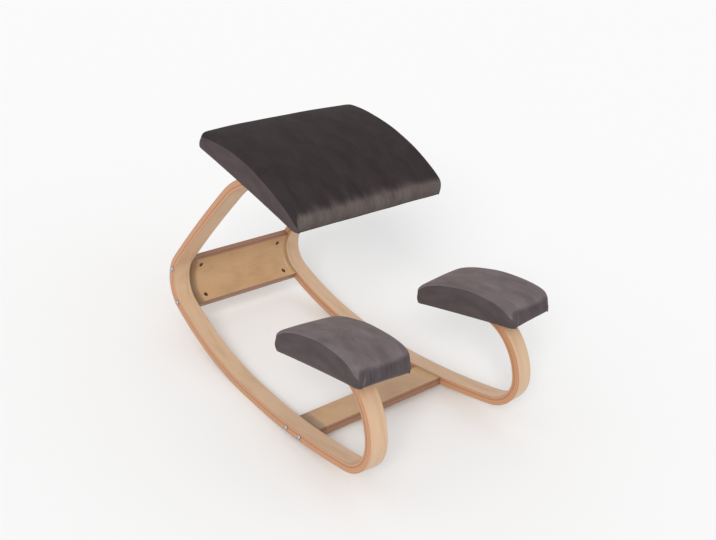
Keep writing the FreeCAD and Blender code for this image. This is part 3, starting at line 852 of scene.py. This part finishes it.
SEAT = Cushion(
    width=411.0,
    depth=336.0,
    drop=26.0,
    arch=SEAT_ARCH,
    rows=90,
    columns=64,
    middle=(
        (-163, 0), (-166.5, 8), (-168, 20), (-163, 34), (-150, 45), (-134, 51), (-100, 59),
        (-50, 65.5), (0, 68), (50, 65), (90, 58), (124, 48.5), (146, 40), (160, 31), (168, 19),
        (167, 8), (164, 0),
    ),
    seam=(
        (-163, 0), (-166, 7), (-166, 14), (-160, 21), (-150, 26.5), (-128, 33), (-93, 41),
        (-60, 45.5), (-10, 47.5), (35, 43), (75, 37.5), (105, 31.5), (130, 25.5), (148, 19.5),
        (160, 13), (166, 7), (164, 0),
    ),
    power=3.0,
    corner=18.0,
    hem=20.0,
    shoulder=13.0,
    bulge=2.5,
    side_bulge=2.6,
    tuck=0.8,
)
KNEE = Cushion(
    width=134.0,
    depth=258.0,
    drop=9.5,
    arch=KNEE_ARCH,
    rows=72,
    columns=36,
    middle=(
        (-124, 0), (-131, 8), (-133, 18), (-128.5, 31), (-115, 43.5), (-95, 52.5), (-60, 60.5),
        (-15, 65.5), (15, 66), (60, 62), (93, 56), (116, 48), (130, 36), (135.5, 23), (134, 9),
        (125, 0),
    ),
    seam=(
        (-124, 0), (-127.5, 8), (-127, 18), (-120, 30), (-106, 40), (-84, 48.5), (-55, 54.5),
        (-15, 57.5), (15, 57.5), (50, 53), (80, 46), (103, 36), (118, 24), (127, 14), (128.5, 6),
        (125, 0),
    ),
    power=2.4,
    corner=15.0,
    hem=12.0,
    shoulder=15.0,
    bulge=3.0,
    side_bulge=4.5,
    tuck=3.0,
)


SIDE_DRAW = 2.5
CORNER_SHARE = 0.92
EDGE_CROWDING = 1.8
SHOULDER_SHARE = 0.78
SWELL_SIZE = 70.0
SWELL = 1.1
CLOTH_RUN = 1.25


def half_width(pad, along):
    """Half width of a pad at a place along it. The sides draw in and the corners are round."""
    half = pad.depth / 2
    x = pad.width / 2
    draw = SIDE_DRAW * (1 - (along / half) ** 2)
    past = abs(along) - (half - pad.corner)
    corner = 0.0
    if past > 0:
        corner = pad.corner - math.sqrt(max(pad.corner**2 - min(past, pad.corner) ** 2, 0.0))
    return x - draw - corner * CORNER_SHARE


def softness(x, y, z, seed):
    """Slow unevenness of stuffed cloth."""
    return noise.noise(Vector((x / SWELL_SIZE + seed, y / SWELL_SIZE, z / SWELL_SIZE))) * SWELL


def top_panel(pad, seed):
    """Cloth over the top and both ends: rows run along the pad and columns across it."""
    middle = curve_through(pad.middle, pad.rows)
    seam = curve_through(pad.seam, pad.rows)
    grid = []
    for column in range(pad.columns + 1):
        raw = column / pad.columns * 2 - 1
        share = math.copysign(1 - (1 - abs(raw)) ** EDGE_CROWDING, raw)
        inset = (1 - abs(share)) * pad.width / 2
        turn = max(1 - inset / pad.shoulder, 0.0)
        shoulder = math.sqrt(1 - turn * turn)
        crown = SHOULDER_SHARE * shoulder + (1 - SHOULDER_SHARE) * (1 - abs(share) ** pad.power)
        bulge = math.copysign(pad.bulge * math.sin(math.pi * min(inset / pad.shoulder, 1.0)), raw)
        line = []
        for (ma, mh), (sa, sh) in zip(middle, seam):
            along = sa + (ma - sa) * crown
            height = sh + (mh - sh) * crown
            x = share * half_width(pad, along) + bulge
            lift = softness(x, along, height, seed) * crown
            line.append((x, along, height + lift))
        grid.append(line)
    return grid


SIDE_ROWS = 9
FULL_BULGE_HEIGHT = 40.0
SEAM_GROOVE = 1.3
SEAM_REACH = 2.5
HEM_RISE = 2.5
HEM_NARROWING = 0.985
HEM_INSET = 4.0
HEM_BELOW_BOARD = 0.8


def pad_mesh(pad, seed):
    """Cloth skin of one pad: top panel, two side panels and the hem below.

    Points are (across, along, up from the lowest edge), with along counted towards the front.
    """
    grid = top_panel(pad, seed)
    columns = len(grid) - 1
    rows = len(grid[0])
    vertices, faces, uv = [], [], []

    def add(point):
        vertices.append(point)
        return len(vertices) - 1

    top = [[add(point) for point in line] for line in grid]
    for i in range(columns):
        for j in range(rows - 1):
            faces.append((top[i][j], top[i + 1][j], top[i + 1][j + 1], top[i][j + 1]))
            uv.append(
                [
                    (grid[a][b][0] * MM, (b / rows) * pad.depth * CLOTH_RUN * MM)
                    for a, b in ((i, j), (i + 1, j), (i + 1, j + 1), (i, j + 1))
                ]
            )
    for side, column in ((-1, 0), (1, columns)):
        edge = grid[column]
        panel = []
        for j, (x, along, height) in enumerate(edge):
            line = [top[column][j]]
            for k in range(1, SIDE_ROWS + 1):
                share = k / SIDE_ROWS
                full = min(height / FULL_BULGE_HEIGHT, 1.0)
                bulge = (math.sin(math.pi * share) * pad.side_bulge - pad.tuck * share**4) * full
                groove = -SEAM_GROOVE * math.exp(-((share * height / SEAM_REACH) ** 2))
                wide = x + side * (bulge + groove)
                line.append(add((wide, along, height * (1 - share))))
            panel.append(line)
        for j in range(rows - 1):
            for k in range(SIDE_ROWS):
                quad = (panel[j][k], panel[j][k + 1], panel[j + 1][k + 1], panel[j + 1][k])
                faces.append(quad if side > 0 else tuple(reversed(quad)))
                points = [vertices[v] for v in faces[-1]]
                uv.append([(up * MM + SIDE_CLOTH_OFFSET, along * MM) for _, along, up in points])
        if side < 0:
            left_foot = [line[-1] for line in panel]
        else:
            right_foot = [line[-1] for line in panel]
    foot_front = [top[i][rows - 1] for i in range(columns + 1)]
    foot_rear = [top[i][0] for i in range(columns + 1)]
    loop = foot_rear[:] + right_foot[1:-1] + foot_front[::-1] + left_foot[::-1][1:-1]
    inner = []
    for v in loop:
        x, along, height = vertices[v]
        inner.append(add((x * HEM_NARROWING, along * HEM_NARROWING, height + HEM_RISE)))
    turned_in = []
    for v in loop:
        x, along, height = vertices[v]
        keep_x = math.copysign(max(abs(x) - HEM_INSET, 0.0), x)
        keep_y = math.copysign(max(abs(along) - pad.hem, 0.0), along)
        rise = arch_height(pad, along) - HEM_BELOW_BOARD
        turned_in.append(add((keep_x, keep_y, max(rise, height + HEM_RISE))))
    size = len(loop)
    for a, b in ((loop, inner), (inner, turned_in)):
        for k in range(size):
            k2 = (k + 1) % size
            faces.append((a[k], b[k], b[k2], a[k2]))
            uv.append([(vertices[v][0] * MM, vertices[v][1] * MM) for v in faces[-1]])
    return vertices, faces, {"cloth": uv}


def arch_height(pad, along):
    """Height of the board's underside above the pad's lowest edge."""
    return pad.drop + math.sqrt(pad.arch**2 - along**2) - pad.arch


def pad_placed(mesh_data, drop):
    """From (across, along, up) to the seat-level drawing: the peak of the board is the origin."""
    vertices, faces, uvs = mesh_data
    return [(x, -along, up - drop) for x, along, up in vertices], faces, uvs


def knee_matrix():
    """Place of the left knee pad in the seat-level drawing."""
    centre, radius, heading, _ = ARCS[KNEE_LAP]
    middle = heading - KNEE_PEAK_AHEAD / KNEE_ARCH
    outside = radius + HALF
    peak = Vector((0, -(centre[0] + outside * math.sin(middle)), centre[1] - outside * math.cos(middle)))
    return LEFT_FRAME @ Matrix.Translation(peak) @ Matrix.Rotation(-(middle - math.pi), 4, "X")


SEAT_SEED = 3.1
KNEE_SEED = 7.7

seat_mesh = flip(pad_placed(pad_mesh(SEAT, SEAT_SEED), SEAT.drop))
seat = new_object("seat_pad", seat_mesh)
finish_piece(seat, SEAT_VELVET, "velvet", "seat_cover", "seat_foam")

knee_mesh = flip(pad_placed(pad_mesh(KNEE, KNEE_SEED), KNEE.drop))
left_knee = placed(knee_mesh, knee_matrix())
for name, side, mesh_data in (
    ("left_knee_pad", "left", left_knee),
    ("right_knee_pad", "right", mirror_data(left_knee)),
):
    pad = new_object(name, mesh_data)
    finish_piece(pad, KNEE_VELVET, "velvet", "knee_cover_" + side, "knee_foam_" + side)


# Studio


PICTURE_WIDTH = 716
FOCAL_PIXELS = 1147.2
SENSOR = 36.0
FLOOR_REACH = 6.0
FLOOR_DROP = 0.5
WORLD_LIGHT = 0.80
KEY_FROM = (-2.4, -1.6, 1.9)
KEY_STRENGTH = 1.5
KEY_SPREAD = 24.0


def camera():
    """Camera fitted to the picture's outline. Its place and directions are in the seat-level drawing."""
    place = Vector((-1556.59, -1392.89, 1184.05)) * MM
    right = Vector((0.723111, -0.642224, 0.254281))
    up = Vector((0.232758, 0.573159, 0.785692))
    back = Vector((-0.650333, -0.508957, 0.563941))
    turn = Matrix((right, up, back)).transposed().to_4x4()
    data = bpy.data.cameras.new("camera")
    data.lens = FOCAL_PIXELS / PICTURE_WIDTH * SENSOR
    data.sensor_width = SENSOR
    data.clip_start = 0.05
    obj = bpy.data.objects.new("camera", data)
    obj.matrix_world = ROW @ Matrix.Translation(place) @ turn
    bpy.context.scene.collection.objects.link(obj)
    bpy.context.scene.camera = obj


def sun(name, place, strength, spread):
    """Soft even light that comes from the side of a place."""
    data = bpy.data.lights.new(name, "SUN")
    data.energy = strength
    data.angle = math.radians(spread)
    obj = bpy.data.objects.new(name, data)
    obj.rotation_mode = "QUATERNION"
    obj.rotation_quaternion = (-Vector(place)).to_track_quat("-Z", "Y")
    bpy.context.scene.collection.objects.link(obj)


def world():
    """White to the camera, mirrors and glass, and a dimmer light for the rest."""
    data = bpy.data.worlds.new("studio")
    data.use_nodes = True
    tree = data.node_tree
    tree.nodes.clear()
    out = tree.nodes.new("ShaderNodeOutputWorld")
    shader = tree.nodes.new("ShaderNodeBackground")
    path = tree.nodes.new("ShaderNodeLightPath")
    first = tree.nodes.new("ShaderNodeMath")
    first.operation = "MAXIMUM"
    second = tree.nodes.new("ShaderNodeMath")
    second.operation = "MAXIMUM"
    tree.links.new(path.outputs["Is Camera Ray"], first.inputs[0])
    tree.links.new(path.outputs["Is Glossy Ray"], first.inputs[1])
    tree.links.new(first.outputs[0], second.inputs[0])
    tree.links.new(path.outputs["Is Transmission Ray"], second.inputs[1])
    strength = tree.nodes.new("ShaderNodeMapRange")
    strength.inputs["To Min"].default_value = WORLD_LIGHT
    strength.inputs["To Max"].default_value = 1.0
    tree.links.new(second.outputs[0], strength.inputs["Value"])
    tree.links.new(strength.outputs[0], shader.inputs["Strength"])
    shader.inputs["Color"].default_value = (1, 1, 1, 1)
    tree.links.new(shader.outputs[0], out.inputs["Surface"])
    bpy.context.scene.world = data


def floor():
    mesh = bpy.data.meshes.new("floor")
    corners = [(x * FLOOR_REACH, y * FLOOR_REACH, 0) for x, y in ((-1, -1), (1, -1), (1, 1), (-1, 1))]
    mesh.from_pydata(corners, [], [(0, 1, 2, 3)])
    obj = bpy.data.objects.new("floor", mesh)
    obj.location.z = -FLOOR_DROP * MM
    bpy.context.scene.collection.objects.link(obj)
    n = Nodes("floor_paper")
    place = n.add("ShaderNodeTexCoord").outputs["Object"]
    grain = n.noise(place, 400.0, 2.0, 0.5)
    n.colour(n.ramp(grain, [(0.3, (0.895, 0.895, 0.895)), (0.7, (0.905, 0.905, 0.905))]))
    n.shader.inputs["Roughness"].default_value = 0.9
    n.shader.inputs["Specular IOR Level"].default_value = 0.1
    mesh.materials.append(n.material)


camera()
world()
floor()
sun("key", KEY_FROM, KEY_STRENGTH, KEY_SPREAD)
bpy.context.scene.view_settings.view_transform = "Standard"
